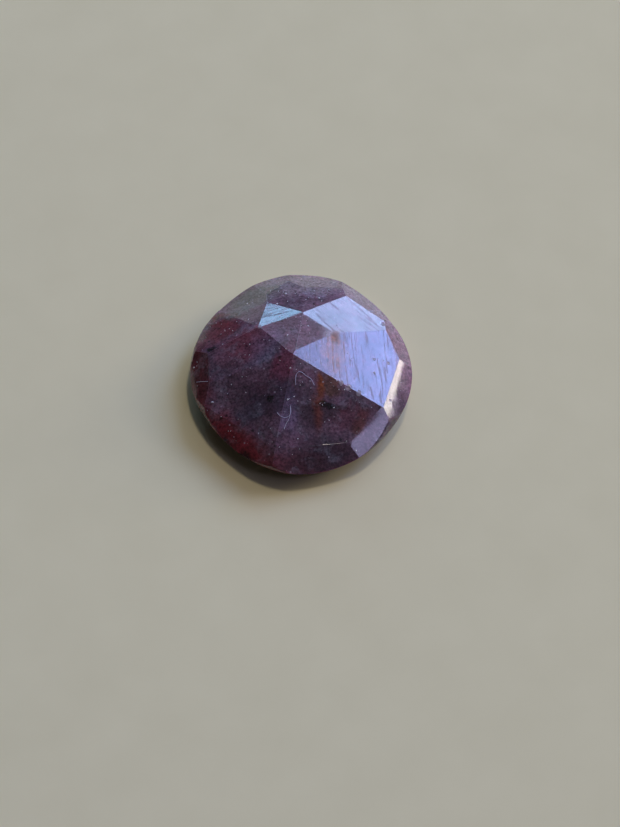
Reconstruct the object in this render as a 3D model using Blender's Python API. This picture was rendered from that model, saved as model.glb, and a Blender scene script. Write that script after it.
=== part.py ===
"""A rose-cut sapphire: an oval dome of hand-cut facets over a thin girdle, a ground bevel and a flat base.

The stone is one solid. It starts as an oval blank and is ground one flat facet after another, the way a
cutter works round a stone: first the low facets along the girdle, then the crown.
"""

import math
from typing import NamedTuple

import bmesh
import bpy
from mathutils import Vector

MM = 0.001

HALF_WIDTH = 5.54 * MM
HALF_DEPTH = 5.98 * MM
OUTLINE_PINCH = 0.10 * MM
OUTLINE_LEAN = math.radians(7)
OUTLINE_STEPS = 120

GIRDLE_HEIGHT = 0.90 * MM
GIRDLE_WALL = 0.10 * MM
BEVEL_SLOPE = math.radians(50)
SHOULDER_SLOPE = math.radians(66)
SHOULDER_RISE = 3.2 * MM

WELD = 0.002 * MM
PLANE_TOLERANCE = 0.0005 * MM

STONE_COLOUR = (0.145, 0.052, 0.085, 1.0)
STONE_ROUGHNESS = 0.08


class Facet(NamedTuple):
    """A flat cut, given by the way it faces in plan, its slope, and where its plane meets the stone's axis.

    The azimuth turns from +X towards +Y, and the slope leaves the level, both in degrees. The height is in
    millimetres over the girdle's lower edge.
    """

    name: str
    azimuth: float
    slope: float
    axis_height: float


GIRDLE_FACETS = (
    Facet("girdle left back", 135.4, 33.0, 3.70),
    Facet("girdle back left", 109.3, 32.6, 3.86),
    Facet("girdle back", 87.0, 33.1, 3.95),
    Facet("girdle back right", 46.2, 41.0, 5.03),
    Facet("girdle right", 13.0, 44.9, 5.60),
    Facet("girdle right front", -12.6, 42.5, 5.10),
    Facet("girdle front right", -63.2, 30.4, 3.40),
    Facet("girdle front", -73.9, 32.2, 3.55),
    Facet("girdle front left", -132.3, 34.8, 3.91),
    Facet("girdle left", -170.0, 44.5, 5.50),
    Facet("girdle left rear", 144.6, 33.7, 3.78),
)

CROWN_FACETS = (
    Facet("small star left", 111.2, 22.5, 2.94),
    Facet("back star left", 100.8, 26.3, 3.17),
    Facet("back star right", 86.7, 25.9, 3.18),
    Facet("star right", 31.1, 17.2, 2.48),
    Facet("top left", 108.3, 8.3, 2.40),
    Facet("top right", 23.5, 13.7, 2.34),
    Facet("main right", -7.0, 18.0, 2.35),
    Facet("main front right", -70.7, 23.4, 2.61),
    Facet("main front left", -135.0, 23.9, 2.72),
    Facet("main left", -159.8, 20.6, 2.67),
)


def outline_radius(turn: float) -> float:
    """The oval's radius at a turn from +X. It leans a little, and is pinched between its four ends."""
    middle = (HALF_WIDTH + HALF_DEPTH) / 2 - OUTLINE_PINCH
    stretch = (HALF_WIDTH - HALF_DEPTH) / 2
    return middle + stretch * math.cos(2 * (turn - OUTLINE_LEAN)) + OUTLINE_PINCH * math.cos(4 * turn)


def base_outline(bm: bmesh.types.BMesh, inset: float) -> bmesh.types.BMFace:
    """The flat base, as one face at height zero, drawn in by inset from the girdle's outline."""
    bmesh.ops.create_circle(bm, cap_ends=True, radius=1, segments=OUTLINE_STEPS)
    for vert in bm.verts:
        vert.co *= outline_radius(math.atan2(vert.co.y, vert.co.x)) - inset
    bm.faces.ensure_lookup_table()
    return bm.faces[0]


def raise_ring(bm: bmesh.types.BMesh, face: bmesh.types.BMFace, rise: float, inset: float):
    """Extrudes a level face up by rise and draws its new rim in by inset, or out where inset is negative."""
    made = bmesh.ops.extrude_face_region(bm, geom=[face])
    top = next(item for item in made["geom"] if isinstance(item, bmesh.types.BMFace))
    for vert in top.verts:
        flat = Vector((vert.co.x, vert.co.y, 0))
        vert.co += Vector((0, 0, rise)) - flat.normalized() * inset
    return top


def oval_blank(bm: bmesh.types.BMesh) -> None:
    """The blank: base, bevel, the girdle's short wall and a steep shoulder, higher than the dome will be."""
    bevel_inset = GIRDLE_HEIGHT / math.tan(BEVEL_SLOPE)
    shoulder_inset = SHOULDER_RISE / math.tan(SHOULDER_SLOPE)
    base = base_outline(bm, bevel_inset)
    girdle_low = raise_ring(bm, base, GIRDLE_HEIGHT, -bevel_inset)
    girdle_high = raise_ring(bm, girdle_low, GIRDLE_WALL, 0)
    raise_ring(bm, girdle_high, SHOULDER_RISE, shoulder_inset)
    bmesh.ops.delete(bm, geom=[girdle_low, girdle_high], context="FACES_ONLY")
    bmesh.ops.recalc_face_normals(bm, faces=bm.faces)


def grind(bm: bmesh.types.BMesh, facet: Facet) -> None:
    """Takes away all that lies over a facet's plane, and closes the cut with one flat face."""
    azimuth = math.radians(facet.azimuth)
    slope = math.radians(facet.slope)
    lean = math.sin(slope)
    outward = Vector((lean * math.cos(azimuth), lean * math.sin(azimuth), math.cos(slope)))
    cut = bmesh.ops.bisect_plane(
        bm,
        geom=[*bm.verts, *bm.edges, *bm.faces],
        dist=PLANE_TOLERANCE,
        plane_co=Vector((0, 0, GIRDLE_HEIGHT + facet.axis_height * MM)),
        plane_no=outward,
        clear_outer=True,
    )
    rim = [item for item in cut["geom_cut"] if isinstance(item, bmesh.types.BMEdge) and item.is_boundary]
    bmesh.ops.contextual_create(bm, geom=rim)


def corundum() -> bpy.types.Material:
    """Plum corundum with a polished skin."""
    material = bpy.data.materials.new("plum corundum")
    material.use_nodes = True
    shader = material.node_tree.nodes["Principled BSDF"]
    shader.inputs["Base Color"].default_value = STONE_COLOUR
    shader.inputs["Roughness"].default_value = STONE_ROUGHNESS
    shader.inputs["Metallic"].default_value = 0.0
    return material


def sapphire() -> bpy.types.Object:
    """The finished stone, standing on its base at the origin."""
    bm = bmesh.new()
    oval_blank(bm)
    for facet in GIRDLE_FACETS + CROWN_FACETS:
        grind(bm, facet)
    bmesh.ops.remove_doubles(bm, verts=bm.verts, dist=WELD)
    bmesh.ops.dissolve_degenerate(bm, edges=bm.edges, dist=WELD)
    bmesh.ops.recalc_face_normals(bm, faces=bm.faces)
    mesh = bpy.data.meshes.new("sapphire")
    bm.to_mesh(mesh)
    bm.free()
    mesh.materials.append(corundum())
    stone = bpy.data.objects.new("sapphire", mesh)
    bpy.context.scene.collection.objects.link(stone)
    return stone


def clear_scene() -> None:
    """Removes every object that the scene starts with."""
    for item in list(bpy.data.objects):
        bpy.data.objects.remove(item)


clear_scene()
sapphire()
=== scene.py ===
"""Dresses a rose-cut sapphire: worn facet edges, polish lines, silk and stains, dust and lint.

Lengths in the script are in metres, written as millimetres times MM. The stone stands on its flat
base at the origin with its dome up.
"""

import logging
import math
import random
from dataclasses import dataclass, field
from enum import Enum
from typing import Any, Optional

import bmesh
import bpy
from mathutils import Matrix, Vector, noise
from mathutils.bvhtree import BVHTree
from mathutils.geometry import intersect_point_line

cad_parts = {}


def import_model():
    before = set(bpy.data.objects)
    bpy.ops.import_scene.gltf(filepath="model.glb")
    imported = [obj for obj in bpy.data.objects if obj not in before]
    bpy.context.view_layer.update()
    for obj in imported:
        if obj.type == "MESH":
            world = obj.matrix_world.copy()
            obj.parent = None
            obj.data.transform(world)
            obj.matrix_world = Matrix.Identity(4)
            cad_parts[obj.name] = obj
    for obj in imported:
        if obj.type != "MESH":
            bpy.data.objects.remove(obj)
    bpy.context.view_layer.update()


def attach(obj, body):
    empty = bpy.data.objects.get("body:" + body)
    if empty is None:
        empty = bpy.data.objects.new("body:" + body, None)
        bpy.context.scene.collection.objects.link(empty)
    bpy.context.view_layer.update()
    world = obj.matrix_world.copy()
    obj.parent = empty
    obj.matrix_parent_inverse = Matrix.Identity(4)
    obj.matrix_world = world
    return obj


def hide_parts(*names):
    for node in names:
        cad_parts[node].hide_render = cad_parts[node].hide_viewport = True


LOG = logging.getLogger("sapphire")
MM = 0.001
ABOVE = 10 * MM
BODY = "root"
STONE_NODE = "sapphire"

Tree = bpy.types.NodeTree
Socket = bpy.types.NodeSocket


def linear(colour: str) -> tuple[float, float, float, float]:
    """Turns an sRGB hex colour into linear light.

    Args:
        colour: six hex digits, such as "7a5c80".

    Returns:
        Red, green, blue and alpha, with alpha 1.
    """
    channels = [int(colour[start : start + 2], 16) / 255 for start in (0, 2, 4)]
    lit = [c / 12.92 if c <= 0.04045 else ((c + 0.055) / 1.055) ** 2.4 for c in channels]
    return (lit[0], lit[1], lit[2], 1.0)


def add_node(
    tree: Tree,
    kind: str,
    settings: Optional[dict[str, Any]] = None,
    inputs: Optional[dict[Any, Any]] = None,
) -> bpy.types.Node:
    """Adds a node with its settings and inputs.

    Args:
        tree: the node tree that gets the node.
        kind: the node's Blender type name.
        settings: properties of the node itself.
        inputs: a plain value or an output socket for each input, by the input's name or number.

    Returns:
        The new node.
    """
    node = tree.nodes.new(kind)
    for name, value in (settings or {}).items():
        setattr(node, name, value)
    for name, value in (inputs or {}).items():
        if isinstance(value, Socket):
            tree.links.new(value, node.inputs[name])
        else:
            node.inputs[name].default_value = value
    return node


def direction(azimuth: float, elevation: float) -> Vector:
    """The unit vector at an azimuth from +X towards +Y and an elevation above level, in degrees."""
    turn, rise = math.radians(azimuth), math.radians(elevation)
    return Vector((math.cos(rise) * math.cos(turn), math.cos(rise) * math.sin(turn), math.sin(rise)))


def add_object(name: str, data: Any) -> bpy.types.Object:
    """Links a new object at the origin.

    Args:
        name: the object's name.
        data: the mesh, curve, light or camera that it shows.

    Returns:
        The object.
    """
    item = bpy.data.objects.new(name, data)
    bpy.context.scene.collection.objects.link(item)
    return item


def add_piece(name: str, bm: bmesh.types.BMesh, material: bpy.types.Material) -> bpy.types.Object:
    """Turns a finished bmesh into an object, and frees it.

    Args:
        name: the name of the object and of its mesh.
        bm: the finished bmesh.
        material: the mesh's one material.

    Returns:
        The object.
    """
    mesh = bpy.data.meshes.new(name)
    bm.to_mesh(mesh)
    bm.free()
    mesh.materials.append(material)
    return add_object(name, mesh)


def new_material(name: str) -> tuple[bpy.types.Material, bpy.types.Node]:
    """Makes a node material.

    Args:
        name: the material's name.

    Returns:
        The material and its Principled shader.
    """
    material = bpy.data.materials.new(name)
    material.use_nodes = True
    return material, material.node_tree.nodes["Principled BSDF"]


def mottled_material(
    name: str, tones: tuple[str, str], grain_mm: float, detail: float
) -> tuple[bpy.types.Material, bpy.types.Node]:
    """Makes a material whose colour drifts between two close tones.

    Args:
        name: the material's name.
        tones: the two sRGB hex colours.
        grain_mm: the mottle's size in millimetres.
        detail: octaves of the mottle.

    Returns:
        The material and its Principled shader.
    """
    material, shader = new_material(name)
    tree = material.node_tree
    where = add_node(tree, "ShaderNodeTexCoord").outputs["Object"]
    scale = 1 / (grain_mm * MM)
    mottle = add_node(
        tree, "ShaderNodeTexNoise", None, {"Vector": where, "Scale": scale, "Detail": detail}
    ).outputs["Fac"]
    mixed = {0: mottle, 6: linear(tones[0]), 7: linear(tones[1])}
    tone = add_node(tree, "ShaderNodeMix", {"data_type": "RGBA"}, mixed).outputs[2]
    tree.links.new(tone, shader.inputs["Base Color"])
    return material, shader


def touch(surface: BVHTree, x: float, y: float) -> tuple[Optional[Vector], Optional[Vector]]:
    """Where a point in plan, in millimetres, meets the surface from above, and the normal there."""
    return surface.ray_cast(Vector((x * MM, y * MM, ABOVE)), Vector((0, 0, -1)))[:2]


@dataclass(frozen=True)
class ColourZone:
    """A patch of another tint inside the stone, an ellipsoid with a ragged edge.

    The centre and the half sizes are in millimetres, the turn about the stone's axis in degrees.
    """

    name: str
    centre: tuple[float, float, float]
    half_size: tuple[float, float, float]
    turn: float
    tint: str
    strength: float
    softness: float = 0.45
    matte: float = 0.0


@dataclass(frozen=True)
class Specks:
    """Small round grains scattered through the stone.

    A millimetre holds a number of cells, each with at most one grain. The radius is a share of the
    cell, the rarity is the share of cells that stay empty, and the strength is how much a grain shows.
    """

    per_mm: float
    radius: float
    rarity: float
    strength: float = 1.0


@dataclass(frozen=True)
class PolishedCorundum:
    """Corundum, ground flat on a lap and polished: glassy, with fine parallel polish lines.

    The stone is silky, so most light turns back near the skin in a plum tint, and only some passes
    through. Thin parts at the rim glow dark red, and that glow is also painted into the rim's colour.
    """

    ior: float = 1.77
    roughness: float = 0.075
    clear_share: float = 0.2
    scatter_share: float = 0.42
    scatter_reach: tuple[float, float, float] = (1.0, 0.22, 0.38)
    scatter_scale: float = 1.0 * MM
    plum: str = "806070"
    depth_plum: str = "584650"
    silk: str = "9494a4"
    dark_tone: str = "1c1416"
    # The pale specks' tone: partly grains in the stone, partly painted glints.
    pale_speck_and_glint_tone: str = "b8a8b8"
    # The worn strips' paler tone: partly rubbed stone, partly a painted highlight on the strips that face the
    # lights.
    wear_and_highlight_tone: str = "a49a9c"
    wear_and_highlight_share: float = 0.6
    worn_roughness: float = 0.5
    mark_roughness: float = 0.3
    absorb_tint: str = "e06a86"
    absorb_density: float = 260.0
    cloud_mm: float = 1.7
    cloud_span: tuple[float, float] = (0.38, 0.62)
    cloud_share: float = 0.8
    swirl_mm: float = 0.8
    swirl: float = 1.4
    fray: float = 0.6
    small_zone: float = 0.31
    silk_mm: float = 0.9
    silk_span: tuple[float, float] = (0.5, 0.72)
    silk_share: float = 0.35
    grain_mm: float = 0.13
    grain_gain: tuple[float, float] = (0.4, 1.6)
    patch_mm: float = 0.42
    patch_gain: tuple[float, float] = (0.78, 1.22)
    pits: Specks = Specks(3.1, 0.16, 0.8)
    dark_grains: Specks = Specks(2.3, 0.22, 0.74, 0.75)
    # Pale specks: partly grains in the stone, partly painted glints.
    pale_specks_and_glints: Specks = Specks(4.1, 0.24, 0.82, 0.8)
    line_mm: float = 0.12
    line_span: tuple[float, float] = (0.58, 0.66)
    fine_line_mm: float = 0.065
    fine_line_span: tuple[float, float] = (0.60, 0.76)
    line_length_mm: float = 1.5
    line_depth: float = 0.0010 * MM
    zones: tuple[ColourZone, ...] = (
        ColourZone("red patch left rear", (-4.0, 2.0, 1.9), (1.2, 0.85, 1.2), 38, "78343e", 0.8, 0.4),
        # Partly painted glow: the next three rim tints are the stone's own red and also the red of light
        # passing out through the thin rim, away from the lights.
        ColourZone("red left rim", (-5.2, -0.6, 1.1), (0.7, 3.0, 1.2), 4, "70343a", 0.8),
        ColourZone("red front left rim", (-3.3, -4.4, 0.9), (2.8, 1.0, 1.1), -45, "863038", 0.95),
        ColourZone("red front rim", (-0.6, -5.6, 1.0), (1.6, 0.6, 0.9), 8, "723a40", 0.6),
        # Painted shade: the girdle at the lower left, turned away from the lights, is darkened to a deep
        # red-brown.
        ColourZone("painted shade on the lower left girdle", (-3.6, -4.0, 0.0), (4.5, 2.4, 1.05), -47, "3a1c18", 0.95, 0.12),
        ColourZone("magenta middle left", (-2.7, 0.6, 2.6), (1.4, 0.9, 0.8), 20, "8a4450", 0.65),
        ColourZone("magenta under the peak", (-0.9, -1.0, 3.0), (0.5, 1.0, 0.8), -15, "904860", 0.6),
        ColourZone("blue silk left of the peak", (-1.8, 0.1, 2.9), (0.7, 1.1, 0.9), -35, "8a82a0", 0.3),
        ColourZone("blue silk middle", (-0.7, -3.0, 2.5), (0.5, 1.5, 0.9), 8, "84789a", 0.4),
        ColourZone("green grey silk front left", (-2.3, -2.9, 2.2), (1.1, 0.5, 0.8), 20, "585a6c", 0.4),
        ColourZone("dark heart", (-1.4, -2.4, 2.4), (1.5, 1.0, 1.2), 10, "44323e", 0.6),
        ColourZone("dark green core", (-1.52, -2.5, 2.5), (0.2, 0.16, 0.5), 0, "161c18", 0.75),
        ColourZone("dark pit band, left", (0.94, -2.72, 2.3), (0.30, 0.18, 0.5), 10, "141212", 0.9),
        ColourZone("dark pit band, middle", (1.42, -2.80, 2.2), (0.34, 0.17, 0.5), -12, "181414", 0.9),
        ColourZone("dark pit band, right", (2.00, -2.92, 2.1), (0.38, 0.16, 0.5), 6, "1c1414", 0.8),
        ColourZone("dark ground below the band", (0.9, -3.2, 2.1), (1.0, 0.5, 0.6), 10, "34282c", 0.65),
        ColourZone("dark front rim", (1.4, -5.2, 1.2), (2.2, 0.8, 0.8), 14, "44343c", 0.65),
        ColourZone("red right shoulder", (4.7, 1.5, 1.6), (0.3, 0.9, 0.5), 18, "8e4654", 0.6),
        ColourZone("dark spot left", (-4.46, 0.68, 2.0), (0.24, 0.2, 0.3), 0, "1c1a1a", 0.85),
        ColourZone("brown by the rust", (1.5, -1.85, 2.6), (0.75, 0.5, 0.5), -30, "66483c", 0.85, 0.3),
        ColourZone("rust vein", (0.92, -1.95, 2.6), (0.2, 0.72, 0.6), 4, "7e422c", 0.9, 0.6),
        ColourZone("rust core", (0.98, -1.7, 2.6), (0.12, 0.35, 0.6), 20, "965436", 0.75, 0.7),
        ColourZone("rust tail", (0.8, -3.2, 2.2), (0.2, 0.9, 0.6), 8, "7e4030", 0.6, 0.8),
        ColourZone("rust wedge right front", (2.9, -3.5, 1.8), (0.3, 0.9, 0.6), -20, "6e4034", 0.7),
        ColourZone("dark red right front", (2.4, -3.2, 1.9), (1.2, 0.6, 0.8), 35, "62363e", 0.6),
        ColourZone("rust spot, main facet", (1.7, 0.9, 2.7), (0.27, 0.3, 0.3), 20, "7c4a30", 0.85, 0.8, 0.55),
        ColourZone("rust trail, main facet", (1.6, 0.0, 2.7), (0.6, 1.3, 0.5), 6, "a87464", 0.8, 0.6, 0.24),
        ColourZone("mauve back right rim", (3.6, 3.7, 1.5), (2.4, 1.0, 1.2), -42, "a8949a", 0.7),
        ColourZone("mauve right rim", (5.1, 1.0, 1.3), (0.7, 2.6, 1.2), 6, "a8848e", 0.75),
        ColourZone("grey back rim", (0.2, 4.9, 1.4), (2.8, 1.2, 1.2), 10, "948486", 0.75),
        ColourZone("olive grey left back", (-2.4, 3.9, 1.6), (1.5, 0.9, 1.0), 32, "6c6862", 0.8, 0.3),
        ColourZone("red behind the left ridge", (-4.1, 2.8, 1.4), (0.6, 0.9, 0.9), 40, "743038", 0.8, 0.25),
        ColourZone("scuffed right corner", (4.55, -2.2, 1.6), (0.4, 0.6, 0.5), 0, "a8949c", 0.4, 0.5, 0.1),
        ColourZone("scuffed upper right", (2.5, 3.0, 2.2), (0.45, 0.3, 0.5), -40, "a88894", 0.6, 0.7, 0.16),
    )

    def build(self) -> bpy.types.Material:
        """Builds the node material.

        Returns:
            The stone's material.
        """
        material, shader = new_material("polished silky corundum")
        tree = material.node_tree
        where = add_node(tree, "ShaderNodeTexCoord").outputs["Object"]
        place = add_node(
            tree, "ShaderNodeVectorMath", {"operation": "SCALE"}, {0: where, "Scale": 1 / MM}
        ).outputs[0]
        frayed = self.swirled(tree, place, self.fray)
        marks = self.polish_marks(tree, place)
        wear_and_highlight = add_node(tree, "ShaderNodeAttribute", {"attribute_name": "wear_and_highlight"}).outputs["Fac"]
        wear_and_highlight_mix = add_node(tree, "ShaderNodeMath", {"operation": "MULTIPLY"}, {0: wear_and_highlight, 1: wear_and_highlight}).outputs[0]
        colour = self.body_colour(tree, place, frayed)
        # Worn strips painted paler, most where they face the lights: rubbed stone and a painted highlight.
        colour = self.layer(tree, wear_and_highlight_mix, colour, linear(self.wear_and_highlight_tone), self.wear_and_highlight_share)
        bump = add_node(
            tree,
            "ShaderNodeBump",
            {"invert": True},
            {"Height": marks, "Strength": 1.0, "Distance": self.line_depth},
        )
        absorb = add_node(
            tree,
            "ShaderNodeVolumeAbsorption",
            None,
            {"Color": linear(self.absorb_tint), "Density": self.absorb_density},
        )
        shader.inputs["IOR"].default_value = self.ior
        shader.inputs["Transmission Weight"].default_value = self.clear_share
        shader.inputs["Subsurface Weight"].default_value = self.scatter_share
        shader.inputs["Subsurface Radius"].default_value = self.scatter_reach
        shader.inputs["Subsurface Scale"].default_value = self.scatter_scale
        tree.links.new(colour, shader.inputs["Base Color"])
        tree.links.new(self.dulled(tree, marks, wear_and_highlight, frayed), shader.inputs["Roughness"])
        tree.links.new(bump.outputs["Normal"], shader.inputs["Normal"])
        tree.links.new(absorb.outputs[0], tree.nodes["Material Output"].inputs["Volume"])
        return material

    def polish_marks(self, tree: Tree, place: Socket) -> Socket:
        """The lap's grooves at each facet's own depth, and the small pits.

        Args:
            tree: the material's node tree.
            place: the place in millimetres.

        Returns:
            The marks' share, from 0 on polished skin to 1.
        """
        depth = add_node(tree, "ShaderNodeAttribute", {"attribute_name": "lap_depth"}).outputs["Fac"]
        grooves = {0: self.polish_lines(tree), 1: depth}
        lines = add_node(tree, "ShaderNodeMath", {"operation": "MULTIPLY"}, grooves).outputs[0]
        both = {0: lines, 1: self.dots(tree, place, self.pits)}
        return add_node(tree, "ShaderNodeMath", {"operation": "MAXIMUM"}, both).outputs[0]

    def dulled(self, tree: Tree, marks: Socket, wear_and_highlight: Socket, frayed: Socket) -> Socket:
        """The roughness: polished, and duller in marks, matte zones and worn strips.

        Args:
            tree: the material's node tree.
            marks: the share of grooves and pits.
            wear_and_highlight: how worn each face is, most on the strips facing the lights, where the paler
                tone is a painted highlight.
            frayed: the frayed place in millimetres, for the zones.

        Returns:
            The roughness.
        """
        rough = add_node(
            tree,
            "ShaderNodeMath",
            {"operation": "MULTIPLY_ADD"},
            {0: marks, 1: self.mark_roughness, 2: self.roughness},
        ).outputs[0]
        matte = [(self.zone_share(tree, frayed, zone), zone.matte) for zone in self.zones if zone.matte]
        for share, more in (*matte, (wear_and_highlight, self.worn_roughness)):
            rough = add_node(
                tree, "ShaderNodeMath", {"operation": "MULTIPLY_ADD"}, {0: share, 1: more, 2: rough}
            ).outputs[0]
        return rough

    def body_colour(self, tree: Tree, place: Socket, frayed: Socket) -> Socket:
        """Plum with darker clouds, the tinted zones with painted shade and glow at the rim among them, bluish
        silk grains, dark specks, and pale specks that are partly painted glints.

        Args:
            tree: the material's node tree.
            place: the place in millimetres.
            frayed: the same, pushed about a little.

        Returns:
            The colour.
        """
        clouds = self.grains(tree, place, self.cloud_mm, 5.0, self.cloud_span)
        colour = self.layer(tree, clouds, linear(self.plum), linear(self.depth_plum), self.cloud_share)
        swirled = self.swirled(tree, place, self.swirl)
        for zone in self.zones:
            small = min(zone.half_size) < self.small_zone
            share = self.zone_share(tree, frayed if small else swirled, zone)
            colour = self.layer(tree, share, colour, linear(zone.tint), 1.0)
        silk = self.grains(tree, swirled, self.silk_mm, 8.0, self.silk_span)
        colour = self.layer(tree, silk, colour, linear(self.silk), self.silk_share)
        colour = self.grained(tree, place, colour)
        dark = self.dots(tree, frayed, self.dark_grains)
        colour = self.layer(tree, dark, colour, linear(self.dark_tone), self.dark_grains.strength)
        # Pale specks, partly small grains in the stone and partly painted glints.
        light = self.dots(tree, place, self.pale_specks_and_glints)
        return self.layer(tree, light, colour, linear(self.pale_speck_and_glint_tone), self.pale_specks_and_glints.strength)

    def swirled(self, tree: Tree, place: Socket, reach: float) -> Socket:
        """The place pushed about, which frays and curls what is drawn on it.

        Args:
            tree: the material's node tree.
            place: the place in millimetres.
            reach: how far it is pushed, in millimetres, for noise from 0 to 1.

        Returns:
            The pushed place in millimetres.
        """
        noise_node = add_node(
            tree,
            "ShaderNodeTexNoise",
            None,
            {"Vector": place, "Scale": 1 / self.swirl_mm, "Detail": 6.0, "Roughness": 0.62},
        )
        centred = add_node(
            tree,
            "ShaderNodeVectorMath",
            {"operation": "SUBTRACT"},
            {0: noise_node.outputs["Color"], 1: (0.5, 0.5, 0.5)},
        ).outputs[0]
        return add_node(
            tree,
            "ShaderNodeVectorMath",
            {"operation": "MULTIPLY_ADD"},
            {0: centred, 1: (reach, reach, reach), 2: place},
        ).outputs[0]

    def grained(self, tree: Tree, place: Socket, colour: Socket) -> Socket:
        """Makes the colour uneven with fine silk grains and small patches.

        The real silk is needles of about 0.01 mm, too fine to show, so the grains are drawn coarser.

        Args:
            tree: the material's node tree.
            place: the place in millimetres.
            colour: the even colour.

        Returns:
            The uneven colour.
        """
        for size_mm, detail, roughness, (least, most) in (
            (self.grain_mm, 3.0, 0.7, self.grain_gain),
            (self.patch_mm, 2.0, 0.5, self.patch_gain),
        ):
            grain = add_node(
                tree,
                "ShaderNodeTexNoise",
                None,
                {"Vector": place, "Scale": 1 / size_mm, "Detail": detail, "Roughness": roughness},
            ).outputs["Fac"]
            gain = add_node(
                tree,
                "ShaderNodeMapRange",
                None,
                {"Value": grain, "From Min": 0.3, "From Max": 0.7, "To Min": least, "To Max": most},
            ).outputs[0]
            colour = add_node(
                tree, "ShaderNodeVectorMath", {"operation": "SCALE"}, {0: colour, "Scale": gain}
            ).outputs[0]
        return colour

    def layer(self, tree: Tree, share: Socket, under: Any, over: Any, most: float) -> Socket:
        """Lays one colour over another.

        Args:
            tree: the material's node tree.
            share: how much of the upper colour shows, from 0 to 1.
            under: the lower colour, a socket or a plain colour.
            over: the upper colour, a plain colour.
            most: the upper colour's greatest share.

        Returns:
            The mixed colour.
        """
        part = add_node(tree, "ShaderNodeMath", {"operation": "MULTIPLY"}, {0: share, 1: most}).outputs[0]
        mixed = {0: part, 6: under, 7: over}
        return add_node(tree, "ShaderNodeMix", {"data_type": "RGBA"}, mixed).outputs[2]

    def grains(
        self, tree: Tree, place: Socket, size_mm: float, detail: float, span: tuple[float, float]
    ) -> Socket:
        """Cloudy grains of about a given size.

        Args:
            tree: the material's node tree.
            place: the place in millimetres.
            size_mm: the grains' usual size.
            detail: octaves of the noise.
            span: the noise values where the grains begin and where they are full.

        Returns:
            The share from 0 to 1.
        """
        cloud = add_node(
            tree,
            "ShaderNodeTexNoise",
            None,
            {"Vector": place, "Scale": 1 / size_mm, "Detail": detail, "Roughness": 0.6, "Distortion": 0.3},
        ).outputs["Fac"]
        return add_node(
            tree,
            "ShaderNodeMapRange",
            {"interpolation_type": "SMOOTHSTEP"},
            {"Value": cloud, "From Min": span[0], "From Max": span[1]},
        ).outputs[0]

    def zone_share(self, tree: Tree, place: Socket, zone: ColourZone) -> Socket:
        """How much of a zone's tint shows at each place.

        Args:
            tree: the material's node tree.
            place: the swirled place in millimetres.
            zone: the zone.

        Returns:
            The share from 0 to the zone's strength.
        """
        about = add_node(
            tree,
            "ShaderNodeMapping",
            {"vector_type": "TEXTURE", "label": zone.name},
            {
                "Vector": place,
                "Location": zone.centre,
                "Rotation": (0, 0, math.radians(zone.turn)),
                "Scale": zone.half_size,
            },
        ).outputs[0]
        reach = add_node(tree, "ShaderNodeVectorMath", {"operation": "LENGTH"}, {0: about}).outputs["Value"]
        return add_node(
            tree,
            "ShaderNodeMapRange",
            {"interpolation_type": "SMOOTHSTEP"},
            {
                "Value": reach,
                "From Min": 1 - zone.softness,
                "From Max": 1 + zone.softness,
                "To Min": zone.strength,
                "To Max": 0.0,
            },
        ).outputs[0]

    def dots(self, tree: Tree, place: Socket, specks: Specks) -> Socket:
        """Draws scattered round grains.

        Args:
            tree: the material's node tree.
            place: the place in millimetres.
            specks: the grains' number, size and rarity.

        Returns:
            The share from 0 to 1.
        """
        cells = add_node(
            tree, "ShaderNodeTexVoronoi", None, {"Vector": place, "Scale": specks.per_mm, "Randomness": 1.0}
        )
        round_grains = add_node(
            tree,
            "ShaderNodeMapRange",
            None,
            {
                "Value": cells.outputs["Distance"],
                "From Min": specks.radius / 2,
                "From Max": specks.radius,
                "To Min": 1.0,
                "To Max": 0.0,
            },
        ).outputs[0]
        chosen = add_node(
            tree,
            "ShaderNodeMath",
            {"operation": "GREATER_THAN"},
            {0: cells.outputs["Color"], 1: specks.rarity},
        ).outputs[0]
        return add_node(
            tree, "ShaderNodeMath", {"operation": "MULTIPLY"}, {0: round_grains, 1: chosen}
        ).outputs[0]

    def polish_lines(self, tree: Tree) -> Socket:
        """Grooves left by the lap, along each facet's own direction.

        The finest real lines are about 0.01 mm apart, too fine to show, so they are drawn some
        0.07 mm apart, with deeper ones between.

        Args:
            tree: the material's node tree.

        Returns:
            The grooves' share, 0 on polished skin and 1 in a groove.
        """
        run = add_node(tree, "ShaderNodeUVMap", {"uv_map": "polish"}).outputs[0]
        grooves = []
        for spacing, span in ((self.line_mm, self.line_span), (self.fine_line_mm, self.fine_line_span)):
            along = add_node(
                tree,
                "ShaderNodeMapping",
                None,
                {"Vector": run, "Scale": (1 / spacing, 1 / self.line_length_mm, 1.0)},
            ).outputs[0]
            streaks = add_node(
                tree,
                "ShaderNodeTexNoise",
                {"noise_dimensions": "2D"},
                {"Vector": along, "Scale": 1.0, "Detail": 2.0, "Roughness": 0.5, "Distortion": 0.15},
            ).outputs["Fac"]
            grooves.append(
                add_node(
                    tree,
                    "ShaderNodeMapRange",
                    {"interpolation_type": "SMOOTHSTEP"},
                    {"Value": streaks, "From Min": span[0], "From Max": span[1]},
                ).outputs[0]
            )
        return add_node(
            tree, "ShaderNodeMath", {"operation": "MAXIMUM"}, {0: grooves[0], 1: grooves[1]}
        ).outputs[0]


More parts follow.
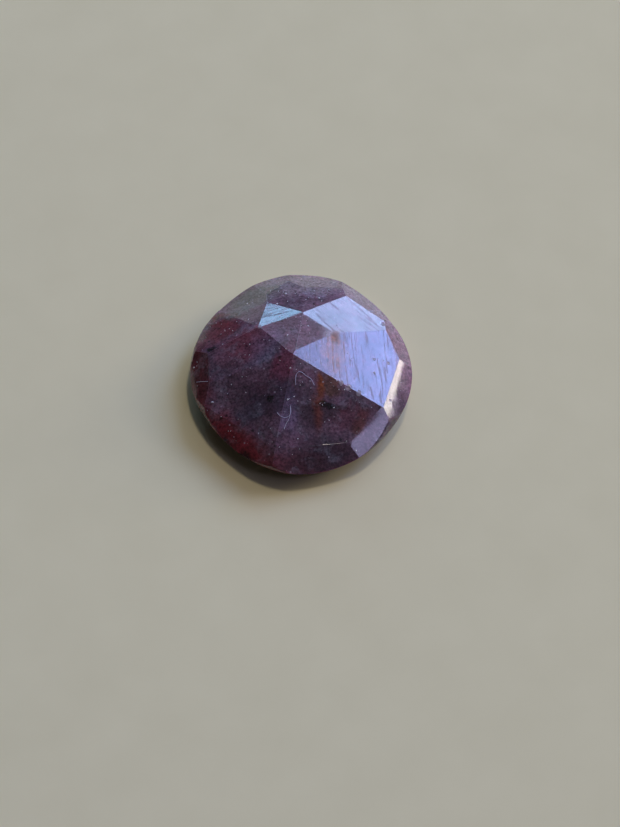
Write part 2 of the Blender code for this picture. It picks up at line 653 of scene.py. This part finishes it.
@dataclass(frozen=True)
class MattePaper:
    """Uncoated paper board, pressed: an even, matte, pale floor with a faint fibre mottle."""

    pale: str = "ded3a9"
    shade: str = "d6cba1"
    mottle_mm: float = 3.0
    roughness: float = 0.9
    specular: float = 0.2

    def build(self) -> bpy.types.Material:
        """Builds the node material.

        Returns:
            The floor's material.
        """
        tones = (self.pale, self.shade)
        material, shader = mottled_material("uncoated paper board", tones, self.mottle_mm, 4.0)
        shader.inputs["Roughness"].default_value = self.roughness
        shader.inputs["Specular IOR Level"].default_value = self.specular
        return material


@dataclass(frozen=True)
class PaleFluff:
    """House dust or cotton lint, shed and fallen: matte, nearly white, slightly uneven in tone."""

    name: str
    light: str
    dull: str
    grain_mm: float
    roughness: float = 0.8

    def build(self) -> bpy.types.Material:
        """Builds the node material.

        Returns:
            The dust's or the fibre's material.
        """
        material, shader = mottled_material(self.name, (self.light, self.dull), self.grain_mm, 2.0)
        shader.inputs["Roughness"].default_value = self.roughness
        return material


class Ridge(Enum):
    """The kinds of ridge, by how many of the two faces beside one are facets."""

    BETWEEN_FACETS = 2
    BESIDE_ONE_FACET = 1


@dataclass(frozen=True)
class LapRun:
    """The lap's run over one facet: the facet by azimuth and slope, the run in plan, the lines' depth."""

    azimuth: float
    slope: float
    run: float
    depth: float = 1.0


@dataclass(frozen=True)
class FacetForm:
    """How far one facet is from flat: its bulge and how far its lower edge stands out, in millimetres."""

    azimuth: float
    slope: float
    bulge: float
    lean: float


@dataclass(frozen=True)
class Chip:
    """A shell-shaped chip, by its place in plan, its reach and its depth, in millimetres."""

    x: float
    y: float
    reach: float
    depth: float


@dataclass
class FacetedStone:
    """The stone's finished surface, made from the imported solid: worn edges, lap runs and chips."""

    finish: PolishedCorundum = field(default_factory=PolishedCorundum)
    weld: float = 0.0005 * MM
    shortest: float = 0.002 * MM
    flat_angle: float = math.radians(0.8)
    same_facet: float = math.radians(5.0)
    ridge_angle: float = math.radians(3.0)
    facet_area: float = 0.15 * MM * MM
    crown_wear: float = 0.045 * MM
    girdle_wear: float = 0.03 * MM
    sharp_ridge: float = math.radians(20)
    # The side facing the lights, at azimuth 55: worn strips there get the full paler tone, a painted
    # highlight, and those away from it a smaller share.
    lit_side: Vector = field(default_factory=lambda: direction(55, 0))
    lit_side_from: float = -0.35 * MM
    unlit_side_share: float = 0.4
    worn_segments: int = 3
    cell: float = 0.22 * MM
    grid_shift: float = 0.37
    dome_from: float = 1.0 * MM
    upward: float = 0.5
    girdle_slope: float = math.radians(28)
    girdle_bulge: float = 0.03 * MM
    crown_bulge: float = 0.016 * MM
    evening_rounds: int = 8
    evening_share: float = 0.5
    chip_cell: float = 0.022 * MM
    chip_margin: float = 1.3
    chip_core: float = 0.9
    chip_wear: float = 0.6
    rag: float = 0.8
    rag_size: float = 0.07 * MM
    grit: float = 0.9
    grit_size: float = 0.05 * MM
    ripple_from: float = 1.05 * MM
    ripple_height: float = 0.0022 * MM
    ripple_length: float = 1.5 * MM
    lap_runs: tuple[LapRun, ...] = (
        LapRun(111.2, 22.5, 16.0),
        LapRun(31.1, 17.2, -40.0),
        LapRun(-7.0, 18.0, -84.0),
        LapRun(-12.6, 42.5, 70.0, 0.3),
        LapRun(-63.2, 30.4, -60.0, 0.12),
        LapRun(23.5, 13.7, -30.0, 0.03),
    )
    forms: tuple[FacetForm, ...] = (
        FacetForm(144.6, 33.7, 0.004, 0.050),
        FacetForm(-12.6, 42.5, 0.026, 0.0),
    )
    run_step: float = 12.0
    run_skew: float = 62.0
    faint_lines: float = 0.03
    chips: tuple[Chip, ...] = (
        Chip(1.98, -1.66, 0.11, 0.014),
        Chip(2.32, -1.88, 0.15, 0.022),
        Chip(2.84, -2.10, 0.13, 0.016),
        Chip(3.52, 3.08, 0.15, 0.022),
        Chip(4.10, 2.25, 0.12, 0.018),
        Chip(-2.05, 1.35, 0.10, 0.014),
        Chip(3.62, 0.02, 0.07, 0.014),
        Chip(4.33, -0.06, 0.08, 0.016),
        Chip(3.62, -0.78, 0.06, 0.012),
        Chip(4.42, -2.12, 0.07, 0.010),
        Chip(4.60, -1.98, 0.06, 0.010),
    )
    mesh_name: str = "sapphire_surface"

    def build(self) -> bpy.types.Object:
        """Builds and dresses the stone.

        Returns:
            The finished object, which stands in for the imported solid.
        """
        node = bpy.data.objects[STONE_NODE]
        bm = bmesh.new()
        bm.from_mesh(node.data)
        bm.transform(node.matrix_world)
        self.merge_facets(bm)
        self.wear_edges(bm)
        bmesh.ops.dissolve_degenerate(bm, edges=bm.edges, dist=self.shortest)
        self.cut_cells(bm)
        bmesh.ops.dissolve_degenerate(bm, edges=bm.edges, dist=self.shortest)
        self.bulge_facets(bm)
        self.knock_chips(bm)
        bmesh.ops.dissolve_degenerate(bm, edges=bm.edges, dist=self.shortest)
        bmesh.ops.dissolve_verts(bm, verts=[vert for vert in bm.verts if len(vert.link_edges) == 2])
        self.ripple(bm)
        self.lay_lap_runs(bm)
        normals = self.vertex_normals(bm)
        bm.faces.layers.int.remove(bm.faces.layers.int["facet"])
        stone = add_piece(self.mesh_name, bm, self.finish.build())
        stone.data.shade_smooth()
        stone.data.normals_split_custom_set_from_vertices(normals)
        return stone

    def merge_facets(self, bm: bmesh.types.BMesh) -> None:
        """Joins the loose triangles and dissolves the edges that lie flat inside a facet."""
        bmesh.ops.remove_doubles(bm, verts=bm.verts, dist=self.weld)
        bmesh.ops.dissolve_limit(bm, angle_limit=self.flat_angle, verts=bm.verts, edges=bm.edges)

    def wear_edges(self, bm: bmesh.types.BMesh) -> None:
        """Rounds the ridges as handling wears them, those of the crown most, and marks the worn strips, fully
        on the side facing the lights, where their paler tone is a painted highlight.

        Args:
            bm: the mesh.
        """
        bm.faces.layers.float.new("wear_and_highlight")
        facet = bm.faces.layers.int.new("facet")
        for number, face in enumerate(bm.faces, 1):
            face[facet] = number if face.calc_area() > self.facet_area else 0
        self.round_ridges(bm, Ridge.BETWEEN_FACETS, self.crown_wear)
        self.round_ridges(bm, Ridge.BESIDE_ONE_FACET, self.girdle_wear)

    def round_ridges(self, bm: bmesh.types.BMesh, kind: Ridge, width: float) -> None:
        """Rounds the ridges of one kind.

        Args:
            bm: the mesh.
            kind: the kind of ridge.
            width: how far the worn strip reaches on each side.
        """
        wear_and_highlight = bm.faces.layers.float["wear_and_highlight"]
        facet = bm.faces.layers.int["facet"]
        ridges = []
        for edge in bm.edges:
            beside = sum(1 for face in edge.link_faces if face[facet])
            worn = any(face[wear_and_highlight] for face in edge.link_faces)
            if beside == kind.value and not worn and edge.calc_face_angle(0) > self.ridge_angle:
                ridges.append(edge)
        lines = [(*(vert.co.copy() for vert in edge.verts), edge.calc_face_angle(0)) for edge in ridges]
        made = bmesh.ops.bevel(
            bm,
            geom=ridges,
            offset=width,
            offset_type="OFFSET",
            affect="EDGES",
            segments=self.worn_segments,
            profile=0.5,
            material=-1,
            clamp_overlap=True,
        )
        for face in made["faces"]:
            face[facet] = 0
            centre = face.calc_center_median()
            _, turn = min((self.far_from(centre, *ends), turn) for *ends, turn in lines)
            # Strips facing the lights get the full share: a painted highlight on top of the rubbing.
            facing_lights = 1.0 if centre.dot(self.lit_side) > self.lit_side_from else self.unlit_side_share
            face[wear_and_highlight] = facing_lights * min(1.0, turn / self.sharp_ridge) ** 2

    def far_from(self, place: Vector, start: Vector, end: Vector) -> float:
        """How far a place is from the straight stretch between two points."""
        share = intersect_point_line(place, start, end)[1]
        return (place - start.lerp(end, min(1.0, max(0.0, share)))).length

    def cut_cells(self, bm: bmesh.types.BMesh) -> None:
        """Cuts the surface along a square grid in plan, so that it can take ripples and chips.

        Args:
            bm: the mesh.
        """
        for axis in (Vector((1, 0, 0)), Vector((0, 1, 0))):
            reach = max(abs(vert.co.dot(axis)) for vert in bm.verts)
            steps = int(reach / self.cell)
            for step in range(-steps, steps + 1):
                bmesh.ops.bisect_plane(
                    bm,
                    geom=[*bm.verts, *bm.edges, *bm.faces],
                    dist=self.weld,
                    plane_co=axis * (step + self.grid_shift) * self.cell,
                    plane_no=axis,
                )

    def bulge_facets(self, bm: bmesh.types.BMesh) -> None:
        """Rounds each facet a little from its upper to its lower edge, the girdle's facets most.

        The worn strips and the ground beside them are evened out, so that no step is left.

        Args:
            bm: the mesh.
        """
        moves = self.facet_moves(bm)
        self.even_out(bm, moves)
        for vert, move in moves.items():
            vert.co += move

    def facet_moves(self, bm: bmesh.types.BMesh) -> dict[bmesh.types.BMVert, Vector]:
        """How far the facets' bulge and lean move each vertex, on the strips the mean of what is near.

        Args:
            bm: the mesh.

        Returns:
            The move of each vertex on a facet or beside one.
        """
        facet = bm.faces.layers.int["facet"]
        bm.normal_update()
        groups: dict[int, list[bmesh.types.BMFace]] = {}
        for face in bm.faces:
            if face[facet] and face.normal.z > self.upward:
                groups.setdefault(face[facet], []).append(face)
        pushes: dict[bmesh.types.BMVert, list[Vector]] = {}
        for faces in groups.values():
            verts = {vert for face in faces for vert in face.verts}
            normal = max(faces, key=lambda face: face.calc_area()).normal.copy()
            girdle = normal.angle(Vector((0, 0, 1))) > self.girdle_slope
            most, lean = self.girdle_bulge if girdle else self.crown_bulge, 0.0
            form = self.nearest(self.forms, normal)
            if form:
                most, lean = form.bulge * MM, form.lean * MM
            low, high = min(v.co.z for v in verts), max(v.co.z for v in verts)
            for vert in verts:
                share = (vert.co.z - low) / (high - low)
                push = most * 4 * share * (1 - share) + lean * (1 - share)
                pushes.setdefault(vert, []).append(normal * push)
        moves = {vert: sum(given, Vector()) / len(given) for vert, given in pushes.items()}
        for vert in bm.verts:
            beside = [pushed for edge in vert.link_edges if (pushed := edge.other_vert(vert)) in pushes]
            if vert not in pushes and beside:
                moves[vert] = sum((moves[other] for other in beside), Vector()) / len(beside)
        return moves

    def even_out(self, bm: bmesh.types.BMesh, moves: dict[bmesh.types.BMVert, Vector]) -> None:
        """Evens the moves on the worn strips and beside them, where the nearest vertices count most.

        Args:
            bm: the mesh.
            moves: each vertex's move, which this changes.
        """
        facet = bm.faces.layers.int["facet"]
        strips = {vert for face in bm.faces if not face[facet] for vert in face.verts}
        eased = {other for vert in strips for edge in vert.link_edges for other in edge.verts}
        for _ in range(self.evening_rounds):
            evened = {}
            for vert in eased:
                shares = [1 / edge.calc_length() for edge in vert.link_edges]
                near = [moves.get(edge.other_vert(vert), Vector()) for edge in vert.link_edges]
                mean = sum((move * share for move, share in zip(near, shares)), Vector()) / sum(shares)
                evened[vert] = moves.get(vert, Vector()).lerp(mean, self.evening_share)
            moves.update(evened)

    def knock_chips(self, bm: bmesh.types.BMesh) -> None:
        """Scoops each chip out of a finer patch of the surface.

        Args:
            bm: the mesh.
        """
        wear_and_highlight = bm.faces.layers.float["wear_and_highlight"]
        for chip in self.chips:
            centre = Vector((chip.x * MM, chip.y * MM, 0))
            reach = chip.reach * MM
            self.cut_finer(bm, centre, reach * self.chip_margin)
            bm.normal_update()
            for vert in bm.verts:
                offset = Vector((vert.co.x, vert.co.y, 0)) - centre
                ragged = 1 + self.rag * noise.noise(vert.co / self.rag_size)
                share = 1 - (offset.length / (reach * ragged)) ** 2
                if share > 0 and vert.co.z > self.dome_from:
                    gritty = 1 + self.grit * noise.noise(vert.co / self.grit_size)
                    vert.co -= vert.normal * chip.depth * MM * share * gritty
            for face in self.faces_near(bm, centre, reach * self.chip_core):
                face[wear_and_highlight] = self.chip_wear

    def cut_finer(self, bm: bmesh.types.BMesh, centre: Vector, reach: float) -> None:
        """Cuts the faces near a place along a finer grid in plan.

        Args:
            bm: the mesh.
            centre: the place in plan.
            reach: how far the finer grid reaches.
        """
        steps = int(reach / self.chip_cell)
        for axis in (Vector((1, 0, 0)), Vector((0, 1, 0))):
            faces = self.faces_near(bm, centre, reach)
            edges = dict.fromkeys(edge for face in faces for edge in face.edges)
            verts = dict.fromkeys(vert for face in faces for vert in face.verts)
            geom = [*faces, *edges, *verts]
            for step in range(-steps, steps + 1):
                geom = bmesh.ops.bisect_plane(
                    bm,
                    geom=geom,
                    dist=self.weld,
                    plane_co=centre + axis * step * self.chip_cell,
                    plane_no=axis,
                )["geom"]

    def faces_near(self, bm: bmesh.types.BMesh, centre: Vector, reach: float) -> list[bmesh.types.BMFace]:
        """The dome's faces within reach of a place in plan.

        Args:
            bm: the mesh.
            centre: the place in plan.
            reach: how far a face may be.

        Returns:
            The faces with a corner within reach.
        """
        found = []
        for face in bm.faces:
            flat = min((Vector((v.co.x, v.co.y, 0)) - centre).length for v in face.verts)
            if flat < reach and face.calc_center_median().z > self.dome_from:
                found.append(face)
        return found

    def ripple(self, bm: bmesh.types.BMesh) -> None:
        """Gives the facets the slight waves of a stone held by hand against the lap.

        Args:
            bm: the mesh.
        """
        bm.normal_update()
        for vert in bm.verts:
            if vert.co.z > self.ripple_from:
                vert.co += vert.normal * self.ripple_height * noise.noise(vert.co / self.ripple_length)

    def lay_lap_runs(self, bm: bmesh.types.BMesh) -> None:
        """Maps each face in millimetres, across and along the way the lap ran over it.

        Args:
            bm: the mesh.
        """
        layer = bm.loops.layers.uv.new("polish")
        depth = bm.faces.layers.float.new("lap_depth")
        bm.normal_update()
        for face in bm.faces:
            normal = face.normal
            turn, face[depth] = self.run_of(normal)
            run = direction(turn, 0)
            along = (run - normal * run.dot(normal)).normalized()
            across = normal.cross(along)
            for loop in face.loops:
                loop[layer].uv = (loop.vert.co.dot(across) / MM, loop.vert.co.dot(along) / MM)

    def run_of(self, normal: Vector) -> tuple[float, float]:
        """The lap's run over a face.

        Args:
            normal: the face's unit normal.

        Returns:
            The run in degrees in plan and the lines' depth, of the named facet that faces the same
            way, or else a run skewed from the facet's own azimuth, with faint lines.
        """
        known = self.nearest(self.lap_runs, normal)
        if known:
            return known.run, known.depth
        azimuth = math.degrees(math.atan2(normal.y, normal.x))
        return round(azimuth / self.run_step) * self.run_step + self.run_skew, self.faint_lines

    def nearest(self, known: tuple[Any, ...], normal: Vector) -> Any:
        """The entry whose facet faces most nearly the way of a normal, or None if all are far off.

        Args:
            known: entries with a facet's azimuth and slope.
            normal: the unit normal.

        Returns:
            The entry, or None.
        """
        best = max(known, key=lambda entry: normal.dot(direction(entry.azimuth, 90 - entry.slope)))
        facing = normal.dot(direction(best.azimuth, 90 - best.slope))
        return best if facing > math.cos(self.same_facet) else None

    def vertex_normals(self, bm: bmesh.types.BMesh) -> list[Vector]:
        """Normals that keep the facets flat and let only the worn strips turn.

        Args:
            bm: the finished mesh.

        Returns:
            One unit normal for each vertex.
        """
        bm.normal_update()
        facet = bm.faces.layers.int["facet"]
        normals = []
        for vert in bm.verts:
            flat = [face for face in vert.link_faces if face[facet]]
            total = Vector((0, 0, 0))
            for face in flat or vert.link_faces:
                total += face.normal * face.calc_area()
            normals.append(total.normalized() if total.length else vert.normal)
        return normals


@dataclass
class SurfaceDust:
    """Specks of dust on the dome: the larger ones where they lie, and a fine scatter."""

    surface: BVHTree
    finish: PaleFluff = PaleFluff("fallen house dust", "f4f2f6", "c8c4cc", 0.08)
    seed: int = 7
    scatter: int = 150
    scatter_size: tuple[float, float] = (0.012, 0.028)
    reach: float = 5.3
    lowest: float = 0.95 * MM
    lump_range: tuple[float, float] = (0.7, 1.15)
    length_range: tuple[float, float] = (0.9, 1.5)
    breadth_range: tuple[float, float] = (0.6, 1.0)
    flatness: float = 0.6
    seat_height: float = 0.3
    marked: tuple[tuple[float, float, float], ...] = (
        (-5.34, 0.07, 0.060),
        (-4.37, -2.19, 0.065),
        (-4.78, -3.02, 0.070),
        (-0.52, -1.17, 0.045),
        (-0.64, -2.65, 0.045),
        (-0.33, -2.49, 0.030),
        (-0.03, -1.94, 0.030),
        (-1.20, 3.13, 0.055),
        (-0.78, 4.02, 0.055),
        (0.90, 3.52, 0.075),
        (0.67, 4.23, 0.030),
        (0.36, 1.37, 0.050),
        (-0.66, 0.72, 0.045),
        (1.79, 1.69, 0.045),
        (3.65, 0.00, 0.045),
        (4.11, 0.05, 0.030),
        (4.35, -0.08, 0.050),
        (3.64, -0.76, 0.055),
        (2.70, -4.73, 0.055),
        (-2.72, 3.67, 0.040),
        (-2.54, 0.47, 0.028),
        (-1.02, -0.72, 0.025),
        (-2.71, -2.00, 0.028),
        (-2.49, -0.84, 0.025),
        (-0.15, -4.42, 0.035),
        (-2.08, -4.08, 0.028),
        (1.39, -3.46, 0.025),
        (0.94, -2.71, 0.030),
        (-3.62, -1.89, 0.025),
        (-4.78, 1.80, 0.025),
        (1.55, -1.42, 0.030),
        (1.76, -1.60, 0.038),
        (1.97, -1.80, 0.026),
        (2.14, -1.99, 0.034),
        (2.42, -2.06, 0.024),
        (1.05, -2.78, 0.026),
        (1.62, -2.86, 0.030),
    )

    def build(self) -> bpy.types.Object:
        """Builds the specks as one piece.

        Returns:
            The dust's object.
        """
        draw = random.Random(self.seed)
        bm = bmesh.new()
        for x, y, radius in self.marked:
            self.add_speck(bm, draw, x, y, radius)
        for _ in range(self.scatter):
            turn = draw.uniform(0, math.tau)
            far = self.reach * math.sqrt(draw.random())
            size = draw.uniform(*self.scatter_size)
            self.add_speck(bm, draw, far * math.cos(turn), far * math.sin(turn), size)
        return add_piece("dust_specks", bm, self.finish.build())

    def add_speck(
        self, bm: bmesh.types.BMesh, draw: random.Random, x: float, y: float, radius: float
    ) -> None:
        """Adds one lumpy speck, sunk a little into its place on the stone.

        Args:
            bm: the mesh that gets the speck.
            draw: the source of its random shape.
            x: the place in plan, in millimetres.
            y: the place in plan, in millimetres.
            radius: the speck's radius in millimetres.
        """
        place, normal = touch(self.surface, x, y)
        if place is None or place.z < self.lowest:
            return
        made = bmesh.ops.create_icosphere(bm, subdivisions=1, radius=radius * MM)["verts"]
        for vert in made:
            vert.co *= draw.uniform(*self.lump_range)
        length, breadth = draw.uniform(*self.length_range), draw.uniform(*self.breadth_range)
        stretch = Matrix.Diagonal((length, breadth, self.flatness, 1))
        spin = Matrix.Rotation(draw.uniform(0, math.tau), 4, "Z")
        stand = normal.to_track_quat("Z", "Y").to_matrix().to_4x4()
        seat = Matrix.Translation(place + normal * radius * MM * self.seat_height)
        bmesh.ops.transform(bm, matrix=seat @ stand @ spin @ stretch, verts=made)


@dataclass
class Lint:
    """Loose fibres on the dome, each a fine curled tube that follows the surface."""

    surface: BVHTree
    finish: PaleFluff = PaleFluff("shed cotton lint", "d8d4e4", "9c98ac", 0.3)
    thickness: float = 0.011 * MM
    hop: float = 0.03 * MM
    fibres: tuple[tuple[tuple[float, float], ...], ...] = (
        (
            (-0.25, -1.95),
            (-0.27, -1.68),
            (-0.20, -1.42),
            (-0.08, -1.33),
            (0.28, -1.50),
            (0.48, -1.62),
            (0.66, -1.9),
        ),
        ((-1.16, -3.23), (-0.97, -3.45), (-0.67, -3.47), (-0.52, -3.31), (-0.51, -2.93)),
        ((-0.51, -2.93), (-0.56, -3.46), (-0.74, -3.82), (-0.82, -4.04)),
        ((-5.2, -0.80), (-4.95, -0.93), (-4.6, -1.10)),
    )

    def build(self) -> bpy.types.Object:
        """Builds the fibres as one piece.

        Returns:
            The lint's object.
        """
        curve = bpy.data.curves.new("lint_curve", "CURVE")
        curve.dimensions = "3D"
        curve.bevel_depth = self.thickness
        curve.bevel_resolution = 1
        curve.use_fill_caps = True
        curve.resolution_u = 6
        for fibre in self.fibres:
            self.add_fibre(curve, fibre)
        guide = add_object("lint_guide", curve)
        mesh = bpy.data.meshes.new_from_object(guide)
        bpy.data.objects.remove(guide)
        mesh.name = "lint_fibres"
        mesh.materials.clear()
        mesh.materials.append(self.finish.build())
        return add_object("lint_fibres", mesh)

    def add_fibre(self, curve: bpy.types.Curve, fibre: tuple[tuple[float, float], ...]) -> None:
        """Adds one fibre as a smooth spline that touches the stone and lifts a little between.

        Args:
            curve: the curve that gets the spline.
            fibre: the fibre's points in plan, in millimetres.
        """
        spline = curve.splines.new("BEZIER")
        spline.bezier_points.add(len(fibre) - 1)
        for number, (point, (x, y)) in enumerate(zip(spline.bezier_points, fibre)):
            place, normal = touch(self.surface, x, y)
            lift = self.thickness + self.hop * (number % 2)
            point.co = place + normal * lift
            point.handle_left_type = point.handle_right_type = "AUTO"


@dataclass(frozen=True)
class SoftPanel:
    """A soft light panel, placed by the way it is seen from the stone."""

    name: str
    azimuth: float
    elevation: float
    width: float
    height: float
    radiance: float
    tint: str
    distance: float = 0.5

    def build(self) -> bpy.types.Object:
        """Builds the panel, facing the stone.

        Returns:
            The light's object.
        """
        lamp = bpy.data.lights.new(self.name, "AREA")
        lamp.shape = "RECTANGLE"
        lamp.size = 2 * self.distance * math.tan(math.radians(self.width / 2))
        lamp.size_y = 2 * self.distance * math.tan(math.radians(self.height / 2))
        lamp.color = linear(self.tint)[:3]
        lamp.energy = 4 * lamp.size * lamp.size_y * self.radiance
        item = add_object(self.name, lamp)
        out = direction(self.azimuth, self.elevation)
        item.location = out * self.distance
        item.rotation_euler = (-out).to_track_quat("-Z", "Y").to_euler()
        return item


@dataclass(frozen=True)
class SkyGlow:
    """A soft round glow in the surroundings, even within the inner angle and gone at the outer one."""

    name: str
    azimuth: float
    elevation: float
    inner: float
    outer: float
    radiance: float
    tint: str

    def add_to(self, tree: Tree, way: Socket, under: Any) -> Socket:
        """Adds the glow to the surroundings' colour.

        Args:
            tree: the world's node tree.
            way: the direction looked in.
            under: the colour so far, a plain colour or a socket.

        Returns:
            The colour with the glow added.
        """
        facing = add_node(
            tree,
            "ShaderNodeVectorMath",
            {"operation": "DOT_PRODUCT", "label": self.name},
            {0: way, 1: direction(self.azimuth, self.elevation)},
        ).outputs["Value"]
        share = add_node(
            tree,
            "ShaderNodeMapRange",
            {"interpolation_type": "SMOOTHSTEP"},
            {
                "Value": facing,
                "From Min": math.cos(math.radians(self.outer)),
                "From Max": math.cos(math.radians(self.inner)),
                "To Max": self.radiance,
            },
        ).outputs[0]
        total = {0: linear(self.tint)[:3], 1: share, 2: under}
        return add_node(tree, "ShaderNodeVectorMath", {"operation": "MULTIPLY_ADD"}, total).outputs[0]


@dataclass
class Studio:
    """The pale floor, the soft light and the camera."""

    floor_radius: float = 1.5
    floor_sides: int = 96
    floor_drop: float = 0.01 * MM
    paper: MattePaper = field(default_factory=MattePaper)
    panels: tuple[SoftPanel, ...] = (
        SoftPanel("panel back", 101, 17, 22, 14, 4.0, "98d0ff"),
        SoftPanel("panel back right", 64, 28, 32, 16, 5.9, "a8c6ff"),
        SoftPanel("card right", 19, 20.4, 18, 18, 6.4, "fff6ee"),
        SoftPanel("card front right", -30, 52, 14, 13, 2.2, "cbc8ff"),
        SoftPanel("high lamp", 66, 66, 6, 6, 40.0, "fff4e6"),
    )
    glows: tuple[SkyGlow, ...] = (
        SkyGlow("bright side of the room", 55, 35, 15, 62, 0.46, "f4eeff"),
        SkyGlow("window glow right", 42, 33, 9, 16.5, 10.2, "94b0ff"),
    )
    dim_tint: str = "2a2a2e"
    low_band: tuple[float, float] = (5.0, 12.0)
    low_share: float = 0.35
    camera_place: tuple[float, float, float] = (0.448 * MM, -74.743 * MM, 113.133 * MM)
    camera_tilt: float = math.radians(32.8)
    lens: float = 117.32

    def build(self) -> None:
        """Builds the floor, the lights, the surroundings and the camera."""
        self.add_floor()
        for panel in self.panels:
            panel.build()
        self.set_surroundings()
        self.add_camera()
        bpy.context.scene.view_settings.view_transform = "Standard"

    def add_floor(self) -> None:
        """Lays a wide round floor just under the stone's base."""
        bm = bmesh.new()
        bmesh.ops.create_circle(bm, cap_ends=True, radius=self.floor_radius, segments=self.floor_sides)
        bmesh.ops.translate(bm, vec=Vector((0, 0, -self.floor_drop)), verts=bm.verts)
        add_piece("floor", bm, self.paper.build())

    def set_surroundings(self) -> None:
        """Fills the surroundings with a dim tone and soft glows, dark near the horizon."""
        world = bpy.data.worlds.new("soft surroundings")
        bpy.context.scene.world = world
        world.use_nodes = True
        tree = world.node_tree
        way = add_node(tree, "ShaderNodeTexCoord").outputs["Generated"]
        tone = linear(self.dim_tint)[:3]
        for glow in self.glows:
            tone = glow.add_to(tree, way, tone)
        rise = add_node(tree, "ShaderNodeSeparateXYZ", None, {0: way}).outputs["Z"]
        low, high = (math.sin(math.radians(angle)) for angle in self.low_band)
        share = add_node(
            tree,
            "ShaderNodeMapRange",
            {"interpolation_type": "SMOOTHSTEP"},
            {"Value": rise, "From Min": low, "From Max": high, "To Min": self.low_share, "To Max": 1.0},
        ).outputs[0]
        tone = add_node(
            tree, "ShaderNodeVectorMath", {"operation": "SCALE"}, {0: tone, "Scale": share}
        ).outputs[0]
        background = tree.nodes["Background"]
        tree.links.new(tone, background.inputs["Color"])
        background.inputs["Strength"].default_value = 1.0

    def add_camera(self) -> None:
        """Sets the camera at the photograph's angle and distance."""
        lens = bpy.data.cameras.new("camera")
        lens.lens = self.lens
        lens.sensor_width = 36.0
        lens.clip_start = 1 * MM
        lens.clip_end = 10.0
        camera = add_object("camera", lens)
        camera.location = self.camera_place
        camera.rotation_euler = (self.camera_tilt, 0, 0)
        bpy.context.scene.camera = camera


def surface_of(piece: bpy.types.Object) -> BVHTree:
    """The piece's surface, ready for finding places on it.

    Args:
        piece: a mesh object.

    Returns:
        The surface's search tree.
    """
    bm = bmesh.new()
    bm.from_mesh(piece.data)
    tree = BVHTree.FromBMesh(bm)
    bm.free()
    return tree


def main() -> None:
    """Builds the studio and the pieces in order, and reports each piece."""
    logging.basicConfig(level=logging.INFO, format="%(name)s: %(message)s")
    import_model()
    Studio().build()
    stone = FacetedStone().build()
    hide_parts(STONE_NODE)
    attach(stone, BODY)
    surface = surface_of(stone)
    dust = SurfaceDust(surface).build()
    lint = Lint(surface).build()
    for piece in (dust, lint):
        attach(piece, BODY)
    for piece in (stone, dust, lint):
        LOG.info("%s: %d faces", piece.name, len(piece.data.polygons))


if __name__ == "__main__":
    main()
